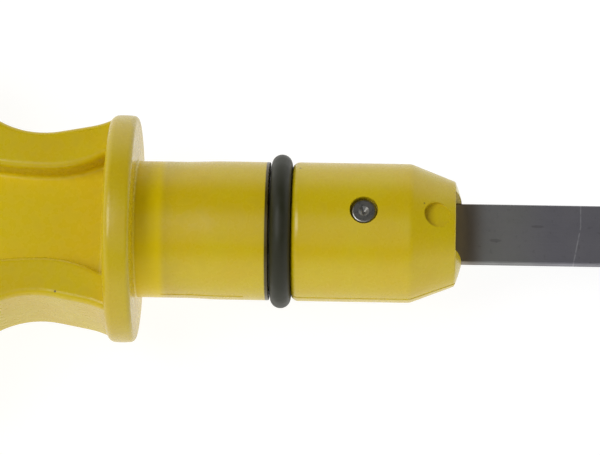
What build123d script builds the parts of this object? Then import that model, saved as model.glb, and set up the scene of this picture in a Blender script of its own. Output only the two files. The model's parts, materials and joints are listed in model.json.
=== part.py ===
from build123d import *
import os

# Fluid-level dipstick: a moulded T-handle that plugs a tube, its sealing ring, a steel blade that
# reaches down into the fluid, and the cross pin that holds the blade in the handle.
# Millimetres. The dipstick lies along X: the origin is on its axis at the flange's seat face,
# +X runs to the blade's tip, and +Z is square to the handle's broad face, along the cross pin.

# Flange that seats on the mouth of the tube
flange_d = 22.2
flange_t = 2.65
flange_crown = 0.12
flange_seat_round = 0.5
flange_back_round = 0.8

# Neck: a slim stretch in front of the flange that swells to a slightly larger land, which runs up
# to the seal groove
neck_d = 13.3
neck_root_round = 0.2
swell_start = 5.2
swell_end = 7.8
swell_round = 20.0
land_d = 13.5
groove_start = 12.95
groove_len = 2.13
groove_d = 11.0
edge_break = 0.12

# Nose: a straight pilot, then a taper with a domed end that is cut away over the blade
nose_d = 13.54
nose_shoulder_round = 0.75
cone_start = 26.65
nose_end = 30.95
nose_end_d = 10.23
nose_dome = 1.02
nose_corner_round = 1.4
end_edge_round = 0.3

# Grip: a flat T with a finger scoop on each side and a cored pocket in each face
grip_t = 9.4
grip_edge_round = 0.6
waist_x = -9.2
waist_w = 16.64
scoop_r = 8.9
scoop_sweep = 76.0
slope_angle = 11.0
slope_end_x = -4.6
foot_r = 8.0
foot_sweep = 19.0
grip_bury_x = -0.9
bar_w = 39.4
bar_end_x = -25.6
crown_x = -28.4
bar_under_round = 3.0
bar_top_round = 3.6

# Pocket in each broad face: a channel between two ribs that runs up from the flange and spreads
# into both arms of the T
pocket_depth = 2.7
pocket_root_x = -flange_t
pocket_waist_x = -8.6
pocket_waist_w = 9.0
pocket_r_flange = 11.0
pocket_r_bar = 36.0
pocket_floor_round = 0.35
pocket_foot_round = 0.8
rib_w = 3.7
arm_start_x = -18.6
arm_start_round = 3.5
arm_tip_under_x = -20.9
arm_tip_top_x = -23.6
arm_tip_round = 1.25

# Round ejector land on the taper
land_pad_d = 2.5
land_pad_x = 29.15
land_pad_z = 5.78
land_pad_root = 1.5

# Cross pin
pin_d = 2.5
pin_x = 22.1
pin_recess = 0.4
pin_edge_round = 0.25
pin_dimple_d = 1.0
pin_dimple_depth = 0.3
pin_mouth_d = 2.72
pin_mouth_depth = 0.9

# Sealing ring, pushed against the nose side of its groove
ring_cord_d = 2.0
ring_wall_gap = 0.01

# Blade: a steel strip
blade_w = 6.0
blade_t = 1.0
blade_root_x = 9.0
blade_len = 172.0
blade_edge_round = 0.1
slot_gap = 0.03
tip_len = 4.0
tip_w = 4.4
tip_round = 0.6
mark_low_from_tip = 22.0
mark_span = 24.0
notch_depth = 0.7
hatch_pitch = 3.0
hatch_w = 0.35
hatch_depth = 0.12
hatch_angle = 35.0
hatch_count = 6
hatch_run = 4.6

groove_end = groove_start + groove_len
ring_x = groove_end - ring_wall_gap - ring_cord_d / 2
blade_tip_x = blade_root_x + blade_len
mark_low_x = blade_tip_x - mark_low_from_tip
mark_high_x = mark_low_x - mark_span

os.makedirs("parts", exist_ok=True)


def arc_rise(radius, reach):
    """How far an arc rises off its tangent at a distance along it."""
    return radius - (radius**2 - reach**2) ** 0.5


def vertex_at(sketch, x, y):
    """The sketch's vertex nearest to a point."""
    return sketch.vertices().sort_by_distance((x, y, 0))[0]


# ---- Core that shapes the grip's pocket; the handle is cored with it on both broad faces ----
with BuildPart() as pocket_core:
    with BuildSketch(Plane.XY.offset(grip_t / 2)) as pocket_mouth:
        with BuildLine():
            pocket_waist = (pocket_waist_x, pocket_waist_w / 2)
            root_rise = arc_rise(pocket_r_flange, pocket_root_x - pocket_waist_x)
            core_root_y = pocket_waist_w / 2 + root_rise
            arm_rise = arc_rise(pocket_r_bar, pocket_waist_x - arm_start_x)
            arm_start = (arm_start_x, pocket_waist_w / 2 + arm_rise)
            arm_tip_y = bar_w / 2 - rib_w
            RadiusArc((pocket_root_x, core_root_y), pocket_waist, pocket_r_flange)
            RadiusArc(pocket_waist, arm_start, pocket_r_bar)
            Polyline(arm_start, (arm_tip_under_x, arm_tip_y), (arm_tip_top_x, arm_tip_y))
            mirror(about=Plane.XZ)
            ThreePointArc((arm_tip_top_x, arm_tip_y), (crown_x + rib_w, 0), (arm_tip_top_x, -arm_tip_y))
            Line((pocket_root_x, core_root_y), (pocket_root_x, -core_root_y))
        make_face()
        for side in (1, -1):
            fillet(vertex_at(pocket_mouth, arm_start[0], side * arm_start[1]), arm_start_round)
            fillet(vertex_at(pocket_mouth, arm_tip_under_x, side * arm_tip_y), arm_tip_round)
            fillet(vertex_at(pocket_mouth, arm_tip_top_x, side * arm_tip_y), arm_tip_round)
    extrude(amount=-pocket_depth)
    core_floor_edges = pocket_core.faces().sort_by(Axis.Z)[0].edges()
    fillet(core_floor_edges.sort_by(Axis.X)[-1], pocket_foot_round)
    fillet(pocket_core.faces().sort_by(Axis.Z)[0].edges(), pocket_floor_round)

# ---- Handle: one moulding of grip, flange, neck and nose ----
with BuildPart() as handle:
    # The T outline, upper half drawn from the flange round to the crown
    with BuildSketch() as grip_face:
        with BuildLine() as grip_line:
            waist = (waist_x, waist_w / 2)
            lift = JernArc(waist, (1, 0), scoop_r, slope_angle)
            slope_dir = lift % 1
            slope_end = lift @ 1 + slope_dir * ((slope_end_x - (lift @ 1).X) / slope_dir.X)
            Line(lift @ 1, slope_end)
            foot = JernArc(slope_end, slope_dir, foot_r, foot_sweep)
            Line(foot @ 1, (grip_bury_x, (foot @ 1).Y))
            to_bar = JernArc(waist, (-1, 0), scoop_r, -scoop_sweep)
            under_dir = to_bar % 1
            under_reach = (bar_w / 2 - (to_bar @ 1).Y) / under_dir.Y
            under_end = to_bar @ 1 + under_dir * under_reach
            Line(to_bar @ 1, under_end)
            Line(under_end, (bar_end_x, bar_w / 2))
            ThreePointArc((bar_end_x, bar_w / 2), (crown_x, 0), (bar_end_x, -bar_w / 2))
            mirror(about=Plane.XZ)
            Line((grip_bury_x, (foot @ 1).Y), (grip_bury_x, -(foot @ 1).Y))
        make_face()
        for side in (1, -1):
            fillet(vertex_at(grip_face, under_end.X, side * bar_w / 2), bar_under_round)
            fillet(vertex_at(grip_face, bar_end_x, side * bar_w / 2), bar_top_round)
    extrude(amount=grip_t / 2, both=True)
    add(pocket_core.part, mode=Mode.SUBTRACT)
    add(pocket_core.part.mirror(Plane.XY), mode=Mode.SUBTRACT)
    fillet(handle.faces().sort_by(Axis.Z)[-1].edges(), grip_edge_round)
    fillet(handle.faces().sort_by(Axis.Z)[0].edges(), grip_edge_round)

    # Flange, neck, seal groove and nose, turned about the axis
    with BuildSketch() as turned:
        with BuildLine():
            rim_edge = flange_d / 2 - flange_crown
            dome_top = (nose_end + nose_dome, 0)
            Polyline((0, rim_edge), (0, neck_d / 2), (swell_start, neck_d / 2))
            Polyline((swell_start, neck_d / 2), (swell_end, land_d / 2), (groove_start, land_d / 2))
            Line((groove_start, land_d / 2), (groove_start, groove_d / 2))
            Polyline((groove_start, groove_d / 2), (groove_end, groove_d / 2), (groove_end, nose_d / 2))
            Polyline((groove_end, nose_d / 2), (cone_start, nose_d / 2))
            Line((cone_start, nose_d / 2), (nose_end, nose_end_d / 2))
            TangentArc(dome_top, (nose_end, nose_end_d / 2), tangent=(0, 1))
            Polyline(dome_top, (-flange_t, 0), (-flange_t, rim_edge))
            ThreePointArc((-flange_t, rim_edge), (-flange_t / 2, flange_d / 2), (0, rim_edge))
        make_face()
        fillet(vertex_at(turned, 0, rim_edge), flange_seat_round)
        fillet(vertex_at(turned, -flange_t, rim_edge), flange_back_round)
        fillet(vertex_at(turned, 0, neck_d / 2), neck_root_round)
        fillet(vertex_at(turned, swell_start, neck_d / 2), swell_round)
        fillet(vertex_at(turned, swell_end, land_d / 2), swell_round)
        fillet(vertex_at(turned, groove_start, land_d / 2), edge_break)
        fillet(vertex_at(turned, groove_end, nose_d / 2), nose_shoulder_round)
        fillet(vertex_at(turned, cone_start, nose_d / 2), nose_corner_round)
        fillet(vertex_at(turned, nose_end, nose_end_d / 2), end_edge_round)
    revolve(axis=Axis.X)

    # Round ejector land: cut into the taper on one side and standing out of it on the other
    with BuildSketch(Plane.XY.offset(land_pad_z)) as land_pad:
        with Locations((land_pad_x, 0)):
            Circle(land_pad_d / 2)
    extrude(land_pad.sketch, amount=-land_pad_root)
    extrude(land_pad.sketch, amount=nose_d / 2, mode=Mode.SUBTRACT)

    # Slot for the blade
    with BuildSketch():
        with Locations((blade_root_x - slot_gap, 0)):
            Rectangle(nose_end, blade_w + 2 * slot_gap, align=(Align.MIN, Align.CENTER))
    extrude(amount=blade_t / 2 + slot_gap, both=True, mode=Mode.SUBTRACT)

    # The dome is cut away across the blade's width, which leaves a cheek beside each edge
    with Locations((nose_end, 0, 0)):
        Box(
            2 * nose_dome,
            blade_w + 2 * slot_gap,
            nose_end_d,
            align=(Align.MIN, Align.CENTER, Align.CENTER),
            mode=Mode.SUBTRACT,
        )

    # Cross hole for the pin, with a wider mouth at each end
    with Locations((pin_x, 0, nose_d / 2)):
        Hole(pin_d / 2, depth=nose_d)
    for facing in (1, -1):
        with Locations(Plane(origin=(pin_x, 0, facing * nose_d / 2), z_dir=(0, 0, facing))):
            Hole(pin_mouth_d / 2, depth=pin_mouth_depth)
handle.part.label = "handle"
export_step(handle.part, "parts/handle.step")

# ---- Sealing ring: a round-section ring in the groove ----
with BuildPart() as o_ring:
    with BuildSketch():
        with Locations((ring_x, groove_d / 2 + ring_cord_d / 2)):
            Circle(ring_cord_d / 2)
    revolve(axis=Axis.X)
o_ring.part.label = "o_ring"
export_step(o_ring.part, "parts/o_ring.step")

# ---- Retaining pin: a short solid pin with rounded, centre-dimpled ends ----
with BuildPart() as retaining_pin:
    pin_half = nose_d / 2 - pin_recess
    with BuildSketch(Plane.XY.offset(-pin_half)):
        with Locations((pin_x, 0)):
            Circle(pin_d / 2)
    extrude(amount=2 * pin_half)
    fillet(retaining_pin.edges().filter_by(GeomType.CIRCLE), pin_edge_round)
    for facing in (1, -1):
        with Locations(Plane(origin=(pin_x, 0, facing * pin_half), z_dir=(0, 0, facing))):
            Cone(
                0,
                pin_dimple_d / 2,
                pin_dimple_depth,
                align=(Align.CENTER, Align.CENTER, Align.MAX),
                mode=Mode.SUBTRACT,
            )
retaining_pin.part.label = "retaining_pin"
export_step(retaining_pin.part, "parts/retaining_pin.step")

# ---- Blade: a steel strip with level notches, a hatched band between them and a tapered tip ----
with BuildPart() as blade:
    with BuildSketch() as strip:
        with BuildLine():
            taper_x = blade_tip_x - tip_len
            Line((blade_root_x, 0), (blade_root_x, blade_w / 2))
            Line((blade_root_x, blade_w / 2), (taper_x, blade_w / 2))
            Line((taper_x, blade_w / 2), (blade_tip_x, tip_w / 2))
            Line((blade_tip_x, tip_w / 2), (blade_tip_x, 0))
            mirror(about=Plane.XZ)
        make_face()
        for side in (1, -1):
            fillet(vertex_at(strip, blade_tip_x, side * tip_w / 2), tip_round)
    extrude(amount=blade_t / 2, both=True)
    chamfer(blade.edges().filter_by(Axis.X), blade_edge_round)
    with Locations((pin_x, 0, blade_t / 2)):
        Hole(pin_d / 2, depth=blade_t)

    # A pair of edge notches at each level
    with BuildSketch():
        for level_x in (mark_low_x, mark_high_x):
            for side in (1, -1):
                with Locations(Location((level_x, side * blade_w / 2), side * 90)):
                    RegularPolygon(radius=notch_depth, side_count=4)
    extrude(amount=blade_t / 2, both=True, mode=Mode.SUBTRACT)

    # Crossed grooves that hold a film of fluid between the levels
    for facing in (1, -1):
        with BuildSketch(Plane.XY.offset(facing * blade_t / 2)):
            for lean in (hatch_angle, -hatch_angle):
                with Locations(((mark_low_x + mark_high_x) / 2, 0)):
                    with GridLocations(hatch_pitch, 0, hatch_count, 1):
                        Rectangle(hatch_w, hatch_run, rotation=lean)
        extrude(amount=-facing * hatch_depth, mode=Mode.SUBTRACT)
blade.part.label = "blade"
export_step(blade.part, "parts/blade.step")
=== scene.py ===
import json
import math

import bmesh
import bpy
from mathutils import Matrix, Vector


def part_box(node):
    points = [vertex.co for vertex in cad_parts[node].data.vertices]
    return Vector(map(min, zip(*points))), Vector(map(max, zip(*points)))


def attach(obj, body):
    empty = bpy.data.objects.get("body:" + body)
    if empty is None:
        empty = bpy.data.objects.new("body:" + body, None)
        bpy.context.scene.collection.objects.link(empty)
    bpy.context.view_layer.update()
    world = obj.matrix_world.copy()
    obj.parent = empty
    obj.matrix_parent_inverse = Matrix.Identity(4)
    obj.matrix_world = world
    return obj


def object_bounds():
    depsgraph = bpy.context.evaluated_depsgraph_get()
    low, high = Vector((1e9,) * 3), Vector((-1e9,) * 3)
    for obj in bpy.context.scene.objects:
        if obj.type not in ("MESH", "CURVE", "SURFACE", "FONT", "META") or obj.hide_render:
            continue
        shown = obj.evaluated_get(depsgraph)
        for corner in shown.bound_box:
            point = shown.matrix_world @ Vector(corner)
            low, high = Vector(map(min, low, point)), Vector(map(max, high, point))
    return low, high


# A used fluid dipstick on a white table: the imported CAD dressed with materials, its parting line,
# the camera and the light.
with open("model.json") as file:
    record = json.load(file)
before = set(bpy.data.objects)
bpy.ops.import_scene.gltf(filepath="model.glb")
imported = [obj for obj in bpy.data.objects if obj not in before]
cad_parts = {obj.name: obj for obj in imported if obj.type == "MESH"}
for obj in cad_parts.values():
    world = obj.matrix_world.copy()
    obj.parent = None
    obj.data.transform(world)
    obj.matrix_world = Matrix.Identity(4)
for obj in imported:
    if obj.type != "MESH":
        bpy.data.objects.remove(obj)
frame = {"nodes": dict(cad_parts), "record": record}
nodes = frame["nodes"]
cad_lo, cad_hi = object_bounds()

MM = 0.001
BODY = "root"

# ---- Places taken from the frame: x is 0 at the flange's seat face and grows along the blade ----
mounts = {m["name"]: m for m in frame["record"]["mounts"]}
handle_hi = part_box("handle")[1]
ring_lo, ring_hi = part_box("o_ring")
blade_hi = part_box("blade")[1]
ring_x = (ring_lo.x + ring_hi.x) / 2
flange_r = handle_hi.z
nose_r = mounts["nose_pilot"]["dims"]["r_mm"] * MM
blade_exit_x = handle_hi.x

# ---- Camera: close to square on the broad face, tipped towards -Y ----
CAMERA_DISTANCE = 322 * MM
CAMERA_LENS = 198.0
SENSOR_WIDTH = 36.0
CAMERA_TIP = math.radians(19.3)
CAMERA_YAW = math.radians(1.39)
CAMERA_ROLL = math.radians(0.945)
AIM_PAST_RING = 1.805 * MM
AIM_ABOVE_AXIS = 0.41 * MM
CLIP_NEAR = 0.01
CLIP_FAR = 10.0


def make_camera():
    """The camera looks down on the lying dipstick from a little to one side of it."""
    square_on = Vector((0, -math.sin(CAMERA_TIP), math.cos(CAMERA_TIP)))
    across = Vector((1, 0, 0))
    up = square_on.cross(across)
    back = square_on * math.cos(CAMERA_YAW) + across * math.sin(CAMERA_YAW)
    right = (across - back * across.dot(back)).normalized()
    turned = right * math.cos(CAMERA_ROLL) + up * math.sin(CAMERA_ROLL)
    aim = Vector((ring_x + AIM_PAST_RING, 0, 0)) + up * AIM_ABOVE_AXIS
    data = bpy.data.cameras.new("camera")
    data.lens = CAMERA_LENS
    data.sensor_width = SENSOR_WIDTH
    data.clip_start = CLIP_NEAR
    data.clip_end = CLIP_FAR
    camera = bpy.data.objects.new("camera", data)
    axes = Matrix((turned, back.cross(turned), back)).transposed()
    camera.matrix_world = Matrix.Translation(aim + back * CAMERA_DISTANCE) @ axes.to_4x4()
    bpy.context.scene.collection.objects.link(camera)
    bpy.context.scene.camera = camera


make_camera()

# ---- Shader helpers ----
SPECK_CORE = 0.6
SPECK_CHOICE = 0.6
SMUDGE_CORE = 0.55


def node(tree, kind, inputs=None, **settings):
    """Adds a shader node. An input given as a socket is linked, and any other is set."""
    made = tree.nodes.new("ShaderNode" + kind)
    for name, value in settings.items():
        setattr(made, name, value)
    for name, value in (inputs or {}).items():
        feed(tree, made.inputs[name], value)
    return made


def feed(tree, target, value):
    """Links a socket to an input, or sets the input to a plain value."""
    if isinstance(value, bpy.types.NodeSocket):
        tree.links.new(value, target)
    else:
        target.default_value = value


def mix(tree, factor, first, second):
    """Mixes two colours."""
    made = node(tree, "Mix", data_type="RGBA", blend_type="MIX")
    for index, value in ((0, factor), (6, first), (7, second)):
        feed(tree, made.inputs[index], value)
    return made.outputs[2]


def span(tree, value, low, high, to_low=0.0, to_high=1.0):
    """Maps a value from one span onto another, clamped and with soft ends."""
    inputs = {0: value, 1: low, 2: high, 3: to_low, 4: to_high}
    return node(tree, "MapRange", inputs, interpolation_type="SMOOTHSTEP").outputs[0]


def tint(tree, under, over, field, starts, full, most=1.0):
    """Lays one colour over another as a field rises, from none of it up to a greatest share."""
    return mix(tree, span(tree, field, starts, full, 0.0, most), under, over)


def math_node(tree, operation, first, second=0.0):
    """One arithmetic step."""
    return node(tree, "Math", {0: first, 1: second}, operation=operation).outputs[0]


def times(tree, first, second):
    """The product of two values."""
    return math_node(tree, "MULTIPLY", first, second)


def larger(tree, first, second):
    """The larger of two values."""
    return math_node(tree, "MAXIMUM", first, second)


def vector_node(tree, operation, first, second):
    """One arithmetic step on two vectors."""
    return node(tree, "VectorMath", {0: first, 1: second}, operation=operation).outputs[0]


def place_mm(tree, stretch=(1.0, 1.0, 1.0)):
    """The object's own coordinates in millimetres, stretched along each axis."""
    where = node(tree, "TexCoord").outputs["Object"]
    return vector_node(tree, "MULTIPLY", where, tuple(s / MM for s in stretch))


def parts(tree, where):
    """The three coordinates of a place."""
    return node(tree, "SeparateXYZ", {0: where}).outputs


def noise(tree, where, cycles, detail=3.0):
    """Fractal noise from 0 to 1 at a number of cycles per millimetre."""
    inputs = {"Vector": where, "Scale": cycles, "Detail": detail, "Roughness": 0.55}
    return node(tree, "TexNoise", inputs).outputs["Fac"]


def specks(tree, where, cycles, size):
    """1 inside small scattered dots and 0 outside them; size is a share of their spacing."""
    cells = node(tree, "TexVoronoi", {"Vector": where, "Scale": cycles, "Randomness": 1.0})
    near = span(tree, cells.outputs["Distance"], size * SPECK_CORE, size, 1.0, 0.0)
    chosen = math_node(tree, "GREATER_THAN", parts(tree, cells.outputs["Color"])[0], SPECK_CHOICE)
    return times(tree, near, chosen)


def band(tree, value, low, high, soft):
    """1 between two values and 0 outside them, with soft ends."""
    rise = span(tree, value, low - soft, low + soft)
    fall = span(tree, value, high - soft, high + soft, 1.0, 0.0)
    return times(tree, rise, fall)


def smudge(tree, where, centre, reach):
    """1 inside a soft oval spot and 0 outside it, from its centre and its reach along each axis."""
    shares = vector_node(tree, "DIVIDE", vector_node(tree, "SUBTRACT", where, centre), reach)
    away = node(tree, "VectorMath", {0: shares}, operation="LENGTH").outputs["Value"]
    return span(tree, away, SMUDGE_CORE, 1.0, 1.0, 0.0)


def colour(red, green, blue):
    """A linear colour with full alpha."""
    return (red, green, blue, 1.0)


def new_material(name):
    """An empty material with its surface shader; returns the material, its tree and that shader."""
    made = bpy.data.materials.new(name)
    made.use_nodes = True
    tree = made.node_tree
    shader = tree.nodes["Principled BSDF"]
    return made, tree, shader


def join(tree, shader, **sockets):
    """Links or sets the surface shader's inputs, named with _ for a space."""
    for name, value in sockets.items():
        feed(tree, shader.inputs[name.replace("_", " ")], value)


def bump(tree, height, depth_mm):
    """A bump whose height input runs from 0 to 1 over a depth in millimetres."""
    inputs = {"Height": height, "Strength": 1.0, "Distance": depth_mm * MM}
    return node(tree, "Bump", inputs).outputs["Normal"]


# ---- Places on the materials, in millimetres: x as above, and r from the long axis ----
RING_X = ring_x / MM
EXIT_X = blade_exit_x / MM
DOME_REACH = 0.67
NOSE_END_X = EXIT_X - DOME_REACH
RIM_R = flange_r / MM
NOSE_R = nose_r / MM
NECK_STEP = 0.12
NECK_R = NOSE_R - NECK_STEP
BLADE_TOP_Z = blade_hi.z / MM

# ---- Handle: used yellow plastic ----
YELLOW = colour(0.66, 0.475, 0.001)
YELLOW_BLOTCH = colour(0.66, 0.500, 0.002)
SOILING = colour(0.59, 0.43, 0.003)
GRAIN = colour(0.45, 0.33, 0.003)
SPECK = colour(0.12, 0.08, 0.01)
# Painted shade: a duller yellow laid on the flange's rim in place of dimmer light there.
RIM_SHADE_YELLOW = colour(0.44, 0.32, 0.01)
# Painted light: a brighter yellow laid over the neck's stretch in the flange's shadow and over the front
# pocket's floor.
PAINTED_LIGHT_YELLOW = colour(0.86, 0.655, 0.0)
# Painted light: a pale cream that lights the +Y cheek of the nose's end beside the blade.
CHEEK_LIGHT = colour(0.85, 0.74, 0.30)
# A dark brown laid deep in the ring's groove and on the land's edge beside it.
GROOVE_DARK = colour(0.07, 0.05, 0.004)

# Where each tone lies. A pair is the stretch that a tone covers, or the one over which it comes in
# or fades. The speck is turned from +Z towards -Y, and the pocket's sides are given by the square of y.
NECK_SPECK_X = 0.73
NECK_SPECK_TURN = math.radians(71.4)
NECK_SPECK_REACH = (0.14, 0.14, 0.14)
RIM_X = (-3.0, 0.1)
RIM_SHADE_R = (RIM_R - 0.9, RIM_R - 0.3)
RIM_SHADE_SHARE = 0.3
FLANGE_SHADOW_X = (0.1, 2.7)
FLANGE_SHADOW_R = (NECK_R + 0.3, NECK_R + 0.8)
POCKET_FLOOR_Z = (1.6, 2.5)
POCKET_Y_SQUARED = (42.0, 60.0)
POCKET_X = (-20.0, -3.0)
POCKET_END_X = -2.0
POCKET_SHARE = 0.8
POCKET_SHARE_BY_FLANGE = 0.35
GROOVE_DARK_R = (NOSE_R - 0.65, NOSE_R - 0.15)
GROOVE_X = (RING_X - 1.47, RING_X + 1.47)
LAND_EDGE_X = (RING_X - 1.47, RING_X - 0.9)
CHEEK_X = (NOSE_END_X, NOSE_END_X + 0.1)
MOULDED_BUMP = 0.008


def axis_distance(tree, y, z):
    """The distance from the long axis."""
    sum_of_squares = math_node(tree, "ADD", times(tree, y, y), times(tree, z, z))
    return math_node(tree, "SQRT", sum_of_squares)


def moulded(tree, where, mottle):
    """Blotchy yellow with soiling, a fine grain, scattered specks and one larger speck on the neck."""
    blotch = noise(tree, where, cycles=0.22)
    fine = noise(tree, where, cycles=6.0)
    base = tint(tree, YELLOW, YELLOW_BLOTCH, blotch, starts=0.35, full=0.65)
    soiled = tint(tree, base, SOILING, mottle, starts=0.45, full=0.75, most=0.35)
    grained = tint(tree, soiled, GRAIN, fine, starts=0.35, full=0.7, most=0.06)
    speck_y = -NECK_R * math.sin(NECK_SPECK_TURN)
    speck_z = NECK_R * math.cos(NECK_SPECK_TURN)
    dots = specks(tree, where, cycles=0.42, size=0.055)
    on_neck = smudge(tree, where, (NECK_SPECK_X, speck_y, speck_z), NECK_SPECK_REACH)
    return mix(tree, larger(tree, dots, on_neck), grained, SPECK)


def painted_rim_shade(tree, x, radius):
    """How much painted shade darkens the flange's rim; 0 elsewhere."""
    outermost = span(tree, radius, *RIM_SHADE_R)
    on_rim = times(tree, outermost, band(tree, x, *RIM_X, soft=0.1))
    return times(tree, on_rim, RIM_SHADE_SHARE)


def beside_flange(tree, x, radius):
    """1 on the stretch of neck in the flange's shadow, where painted light brightens the shade, and 0
    elsewhere.
    """
    close_by = band(tree, x, *FLANGE_SHADOW_X, soft=0.45)
    on_neck = span(tree, radius, *FLANGE_SHADOW_R, to_low=1.0, to_high=0.0)
    return times(tree, close_by, on_neck)


def pocket_floor_light(tree, x, y, z):
    """How much painted light brightens the front pocket's floor, less so towards the flange; 0 elsewhere.
    """
    inside = span(tree, times(tree, y, y), *POCKET_Y_SQUARED, to_low=1.0, to_high=0.0)
    on_floor = times(tree, band(tree, z, *POCKET_FLOOR_Z, soft=0.2), inside)
    along = span(tree, x, *POCKET_X, to_low=1.0, to_high=POCKET_SHARE_BY_FLANGE)
    behind_flange = math_node(tree, "LESS_THAN", x, POCKET_END_X)
    shown = times(tree, times(tree, on_floor, along), behind_flange)
    return times(tree, shown, POCKET_SHARE)


def ring_darkening(tree, x, radius):
    """1 deep in the ring's groove and on the edge of the land on its flange side, and 0 elsewhere."""
    deep = span(tree, radius, *GROOVE_DARK_R, to_low=1.0, to_high=0.0)
    near_ring = band(tree, x, *GROOVE_X, soft=0.12)
    on_land_edge = band(tree, x, *LAND_EDGE_X, soft=0.05)
    return larger(tree, times(tree, deep, near_ring), on_land_edge)


def lit_cheek(tree, x, y):
    """1 on the nose's end on the +Y side of the blade, where a pale cream is painted in as light, and 0
    elsewhere.
    """
    return times(tree, span(tree, x, *CHEEK_X), math_node(tree, "GREATER_THAN", y, 0.0))


def handle_plastic():
    """Used yellow moulded plastic: blotchy, slightly soiled, grained and specked, with painted shade on
    the flange's rim, painted light on the neck beside the flange, on the pocket's floor and on the nose's
    +Y cheek, and a darker groove.
    """
    made, tree, shader = new_material("handle_plastic")
    where = place_mm(tree)
    x, y, z = parts(tree, where)[:3]
    radius = axis_distance(tree, y, z)
    mottle = noise(tree, where, cycles=1.1, detail=4.0)
    in_flange_shadow = beside_flange(tree, x, radius)
    with_rim_shade = mix(tree, painted_rim_shade(tree, x, radius), moulded(tree, where, mottle), RIM_SHADE_YELLOW)
    # Painted light on the shaded neck beside the flange and on the pocket's floor.
    with_painted_light = mix(tree, larger(tree, in_flange_shadow, pocket_floor_light(tree, x, y, z)), with_rim_shade, PAINTED_LIGHT_YELLOW)
    with_lit_cheek = mix(tree, lit_cheek(tree, x, y), with_painted_light, CHEEK_LIGHT)
    finished = mix(tree, ring_darkening(tree, x, radius), with_lit_cheek, GROOVE_DARK)
    roughness = span(tree, mottle, 0.3, 0.7, to_low=0.24, to_high=0.32)
    gloss = span(tree, in_flange_shadow, 0.0, 1.0, to_low=0.5, to_high=0.2)
    join(tree, shader, Base_Color=finished, Roughness=roughness, Specular_IOR_Level=gloss)
    join(tree, shader, Normal=bump(tree, mottle, MOULDED_BUMP))
    return made


# ---- O-ring and cross pin ----
RUBBER = colour(0.017, 0.018, 0.005)
RUBBER_FILM = colour(0.022, 0.022, 0.010)
PIN_BRIGHT = colour(0.31, 0.31, 0.295)
PIN_TARNISH = colour(0.17, 0.16, 0.14)


def ring_rubber():
    """Black rubber with a dull sheen."""
    made, tree, shader = new_material("ring_rubber")
    film = noise(tree, place_mm(tree), cycles=0.9)
    base = tint(tree, RUBBER, RUBBER_FILM, film, starts=0.4, full=0.7)
    roughness = span(tree, film, 0.35, 0.65, to_low=0.45, to_high=0.55)
    join(tree, shader, Base_Color=base, Roughness=roughness, Specular_IOR_Level=0.35)
    return made


def pin_steel():
    """Turned steel, slightly tarnished."""
    made, tree, shader = new_material("pin_steel")
    tarnish = noise(tree, place_mm(tree), cycles=2.2, detail=4.0)
    base = tint(tree, PIN_BRIGHT, PIN_TARNISH, tarnish, starts=0.35, full=0.7)
    roughness = span(tree, tarnish, 0.3, 0.7, to_low=0.22, to_high=0.4)
    join(tree, shader, Base_Color=base, Metallic=1.0, Roughness=roughness)
    return made


# ---- Blade: darkened rolled strip ----
STRIP_NEAR = colour(0.235, 0.235, 0.225)
STRIP_FAR = colour(0.21, 0.205, 0.23)
STRIP_PATCH = colour(0.17, 0.165, 0.175)
STRIP_RUBBED = colour(0.11, 0.105, 0.11)
# Stain and painted shadow: a brown that darkens the blade just past the nose.
STAIN_AND_SHADE = colour(0.15, 0.125, 0.10)
# Painted reflection: a lighter, yellower brown for the nose's light on the blade close up to it.
NOSE_REFLECTION = colour(0.30, 0.255, 0.19)
STREAK = colour(0.07, 0.065, 0.07)
SCRATCH = colour(0.5, 0.5, 0.52)

# Where the marks lie. A pair is the stretch over which a tone comes in or fades, and each streak
# has a centre and its reach along each axis.
COOLER_X = (EXIT_X + 4.3, EXIT_X + 9.3)
STAIN_AND_SHADE_X = (EXIT_X + 0.7, EXIT_X + 2.5)
NOSE_REFLECTION_X = (EXIT_X - 0.2, EXIT_X + 1.1)
NOSE_MARK_SHARE = 0.85
STREAKS = (
    ((EXIT_X + 3.3, -0.75, BLADE_TOP_Z), (0.7, 0.22, 0.3)),
    ((EXIT_X + 7.4, 0.75, BLADE_TOP_Z), (0.8, 0.18, 0.3)),
)
STREAK_SHARE = 0.32
SCRATCH_X = EXIT_X + 11.58
SCRATCH_BEND_Y = 0.8
SCRATCH_LEAN = 0.19
SCRATCH_HALF = (0.02, 0.09)
SCRATCH_SHARE = 0.42
DRAWN_STRETCH = (0.08, 7.0, 1.0)
DRAWN_BUMP = 0.004


def rolled_strip(tree, x, patch, rubbed):
    """Grey steel that turns cooler away from the nose, with patches and rubbed spots."""
    cool = mix(tree, span(tree, x, *COOLER_X), STRIP_NEAR, STRIP_FAR)
    patched = tint(tree, cool, STRIP_PATCH, patch, starts=0.3, full=0.7, most=0.5)
    return tint(tree, patched, STRIP_RUBBED, rubbed, starts=0.58, full=0.8, most=0.5)


def stained_and_shaded_by_nose(tree, x, under):
    """Brown stain with painted shadow where the blade leaves the nose, and a painted yellow reflection of
    the nose close up to it.
    """
    stain_shade = span(tree, x, *STAIN_AND_SHADE_X, to_low=NOSE_MARK_SHARE, to_high=0.0)
    reflected_yellow = span(tree, x, *NOSE_REFLECTION_X, to_low=NOSE_MARK_SHARE, to_high=0.0)
    return mix(tree, reflected_yellow, mix(tree, stain_shade, under, STAIN_AND_SHADE), NOSE_REFLECTION)


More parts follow.
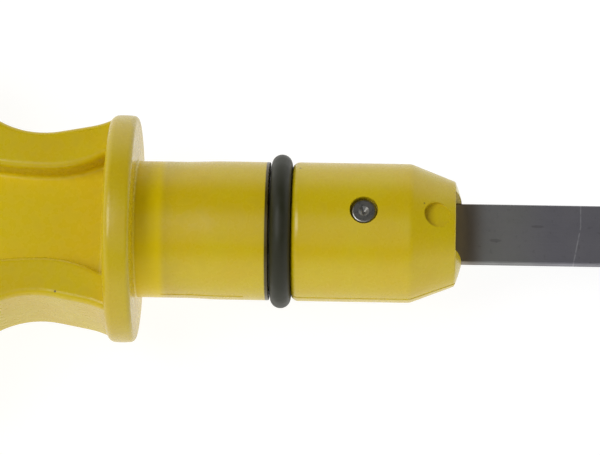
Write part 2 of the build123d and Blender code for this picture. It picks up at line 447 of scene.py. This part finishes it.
def light_scratch(tree, x, y, rubbed):
    """How much of a thin scratch shows: straight across on the +Y side, and leaning from its bend on."""
    past_bend = larger(tree, math_node(tree, "SUBTRACT", SCRATCH_BEND_Y, y), 0.0)
    along = math_node(tree, "ADD", x, times(tree, past_bend, SCRATCH_LEAN))
    off_line = math_node(tree, "ABSOLUTE", math_node(tree, "SUBTRACT", along, SCRATCH_X))
    on_line = span(tree, off_line, *SCRATCH_HALF, to_low=SCRATCH_SHARE, to_high=0.0)
    return times(tree, on_line, span(tree, rubbed, 0.3, 0.55))


def blade_steel():
    """Darkened rolled strip with lengthwise drawing lines, a stain with painted shadow and a painted
    reflection by the nose, two dark streaks and a scratch.
    """
    made, tree, shader = new_material("blade_steel")
    where = place_mm(tree)
    x, y = parts(tree, where)[:2]
    patch = noise(tree, where, cycles=0.35)
    rubbed = noise(tree, where, cycles=1.9, detail=4.0)
    drawn = noise(tree, place_mm(tree, DRAWN_STRETCH), cycles=1.0)
    near_nose_marked = stained_and_shaded_by_nose(tree, x, rolled_strip(tree, x, patch, rubbed))
    streaks = larger(tree, *(smudge(tree, where, centre, reach) for centre, reach in STREAKS))
    streaked = mix(tree, times(tree, streaks, STREAK_SHARE), near_nose_marked, STREAK)
    marked = mix(tree, light_scratch(tree, x, y, rubbed), streaked, SCRATCH)
    roughness = span(tree, patch, 0.3, 0.7, to_low=0.42, to_high=0.5)
    join(tree, shader, Base_Color=marked, Metallic=0.9, Roughness=roughness)
    join(tree, shader, Normal=bump(tree, drawn, DRAWN_BUMP))
    return made


def dress(node_name, material):
    """Gives a CAD node its material."""
    slots = nodes[node_name].data.materials
    slots.clear()
    slots.append(material)


plastic = handle_plastic()
dress("handle", plastic)
dress("o_ring", ring_rubber())
dress("retaining_pin", pin_steel())
dress("blade", blade_steel())

# ---- Parting line: the fine ridge that the mould's joint leaves along the neck and nose ----
# OUTSIDE_BLADE is a share of the blade's half width, and SIDE_FACING is the least sideways share of
# the outline's facing that counts as a side.
RIDGE_PROUD = 0.05 * MM
RIDGE_BURY = 0.03 * MM
RIDGE_HALF = 0.05 * MM
RIDGE_CORNERS = 3
SEAT_CLEAR = 0.25 * MM
SIDE_FACING = 0.5
RING_CLEAR = 1.35 * MM
OUTSIDE_BLADE = 1.3
CUT_TOLERANCE = 0.001 * MM


def outline_loop():
    """The handle's outline in the plane of its broad middle, as points in order round it."""
    mesh = bmesh.new()
    mesh.from_mesh(nodes["handle"].data)
    bmesh.ops.remove_doubles(mesh, verts=mesh.verts, dist=CUT_TOLERANCE)
    everything = mesh.verts[:] + mesh.edges[:] + mesh.faces[:]
    cut = bmesh.ops.bisect_plane(
        mesh, geom=everything, dist=CUT_TOLERANCE, plane_co=(0, 0, 0), plane_no=(0, 0, 1)
    )["geom_cut"]
    beside = {}
    for edge in cut:
        if isinstance(edge, bmesh.types.BMEdge):
            for here, there in (edge.verts, reversed(edge.verts)):
                beside.setdefault(here.index, []).append(there.index)
    mesh.verts.ensure_lookup_table()
    places = {index: mesh.verts[index].co.xy.copy() for index in beside}
    mesh.free()
    start = min(places, key=lambda index: places[index].x)
    loop = [start]
    while True:
        onward = [index for index in beside[loop[-1]] if index not in loop[-2:]]
        if not onward or onward[0] == start:
            break
        loop.append(onward[0])
    return [places[index] for index in loop]


def has_ridge(place, facing):
    """Whether the ridge shows at a place on the outline: along the neck and nose, clear of the ring."""
    on_side = abs(facing.y) > SIDE_FACING and abs(place.y) > blade_hi.y * OUTSIDE_BLADE
    by_ring = abs(place.x - ring_x) < RING_CLEAR
    return on_side and not by_ring and SEAT_CLEAR < place.x < blade_exit_x


def ridge_strip(loop):
    """The corners and side faces of a ridge of triangular section that follows the outline."""
    count = len(loop)
    area = sum(loop[i - 1].cross(loop[i]) for i in range(count))
    turn = 1 if area > 0 else -1
    verts = []
    faces = []
    run_open = False
    for i in range(count):
        along = loop[(i + 1) % count] - loop[i - 1]
        facing = Vector((along.y, -along.x)).normalized() * turn
        if not has_ridge(loop[i], facing):
            run_open = False
            continue
        foot = loop[i] - facing * RIDGE_BURY
        tip = loop[i] + facing * RIDGE_PROUD
        first = len(verts)
        last = first - RIDGE_CORNERS
        verts += [(foot.x, foot.y, RIDGE_HALF), (tip.x, tip.y, 0), (foot.x, foot.y, -RIDGE_HALF)]
        if run_open:
            for corner in range(RIDGE_CORNERS):
                after = (corner + 1) % RIDGE_CORNERS
                faces.append((last + corner, last + after, first + after, first + corner))
        run_open = True
    return verts, faces


def close_ends(mesh):
    """Closes the ends of each run and drops corners that no face uses."""
    shape = bmesh.new()
    shape.from_mesh(mesh)
    bmesh.ops.holes_fill(shape, edges=shape.edges, sides=RIDGE_CORNERS)
    loose = [v for v in shape.verts if not v.link_faces]
    bmesh.ops.delete(shape, geom=loose, context="VERTS")
    bmesh.ops.recalc_face_normals(shape, faces=shape.faces)
    shape.to_mesh(mesh)
    shape.free()


def make_parting_line():
    """The ridge, left out where it would be hidden or would rub."""
    verts, faces = ridge_strip(outline_loop())
    mesh = bpy.data.meshes.new("parting_line")
    mesh.from_pydata(verts, [], faces)
    close_ends(mesh)
    mesh.materials.append(plastic)
    ridge = bpy.data.objects.new("parting_line", mesh)
    bpy.context.scene.collection.objects.link(ridge)
    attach(ridge, BODY)


make_parting_line()

# ---- Stage: a white table and soft light all round, dimmer straight overhead ----
FLOOR_SIZE = 6.0
FLOOR_GAP = 0.02 * MM
FLOOR_GREY = 0.2
FLOOR_GLOW = 0.90
SKY_HEIGHTS = (0.1, 0.7)
HORIZON_GLOW = 1.1
OVERHEAD_GLOW = 0.08
LIGHT_DISTANCE = 0.9


def make_floor():
    """A plain white table under the flange's rim."""
    mesh = bpy.data.meshes.new("floor")
    half = FLOOR_SIZE / 2
    z = cad_lo.z - FLOOR_GAP
    corners = [(-half, -half, z), (half, -half, z), (half, half, z), (-half, half, z)]
    mesh.from_pydata(corners, [], [(0, 1, 2, 3)])
    floor = bpy.data.objects.new("floor", mesh)
    bpy.context.scene.collection.objects.link(floor)
    made, tree, shader = new_material("floor_white")
    grey = colour(FLOOR_GREY, FLOOR_GREY, FLOOR_GREY)
    join(tree, shader, Base_Color=grey, Roughness=0.9, Specular_IOR_Level=0.0)
    join(tree, shader, Emission_Color=colour(1, 1, 1), Emission_Strength=FLOOR_GLOW)
    mesh.materials.append(made)


def make_world():
    """Bright at the horizon and dim overhead."""
    world = bpy.data.worlds.new("studio")
    world.use_nodes = True
    tree = world.node_tree
    background = tree.nodes["Background"]
    height = parts(tree, node(tree, "TexCoord").outputs["Generated"])["Z"]
    glow = span(tree, height, *SKY_HEIGHTS, HORIZON_GLOW, OVERHEAD_GLOW)
    feed(tree, background.inputs["Strength"], glow)
    feed(tree, background.inputs["Color"], colour(1, 1, 1))
    bpy.context.scene.world = world


def soft_light(name, direction, size, power):
    """A square softbox that faces the O-ring."""
    data = bpy.data.lights.new(name, "AREA")
    data.shape = "SQUARE"
    data.size = size
    data.energy = power
    light = bpy.data.objects.new(name, data)
    aim = Vector((ring_x, 0, 0))
    light.location = aim + Vector(direction).normalized() * LIGHT_DISTANCE
    light.rotation_mode = "QUATERNION"
    light.rotation_quaternion = (light.location - aim).to_track_quat("Z", "Y")
    bpy.context.scene.collection.objects.link(light)


make_floor()
make_world()
soft_light("key", direction=(-0.50, -0.06, 0.86), size=0.5, power=3.85)
soft_light("top", direction=(-0.08, -0.30, 0.95), size=0.8, power=1.05)
bpy.context.scene.view_settings.view_transform = "Standard"
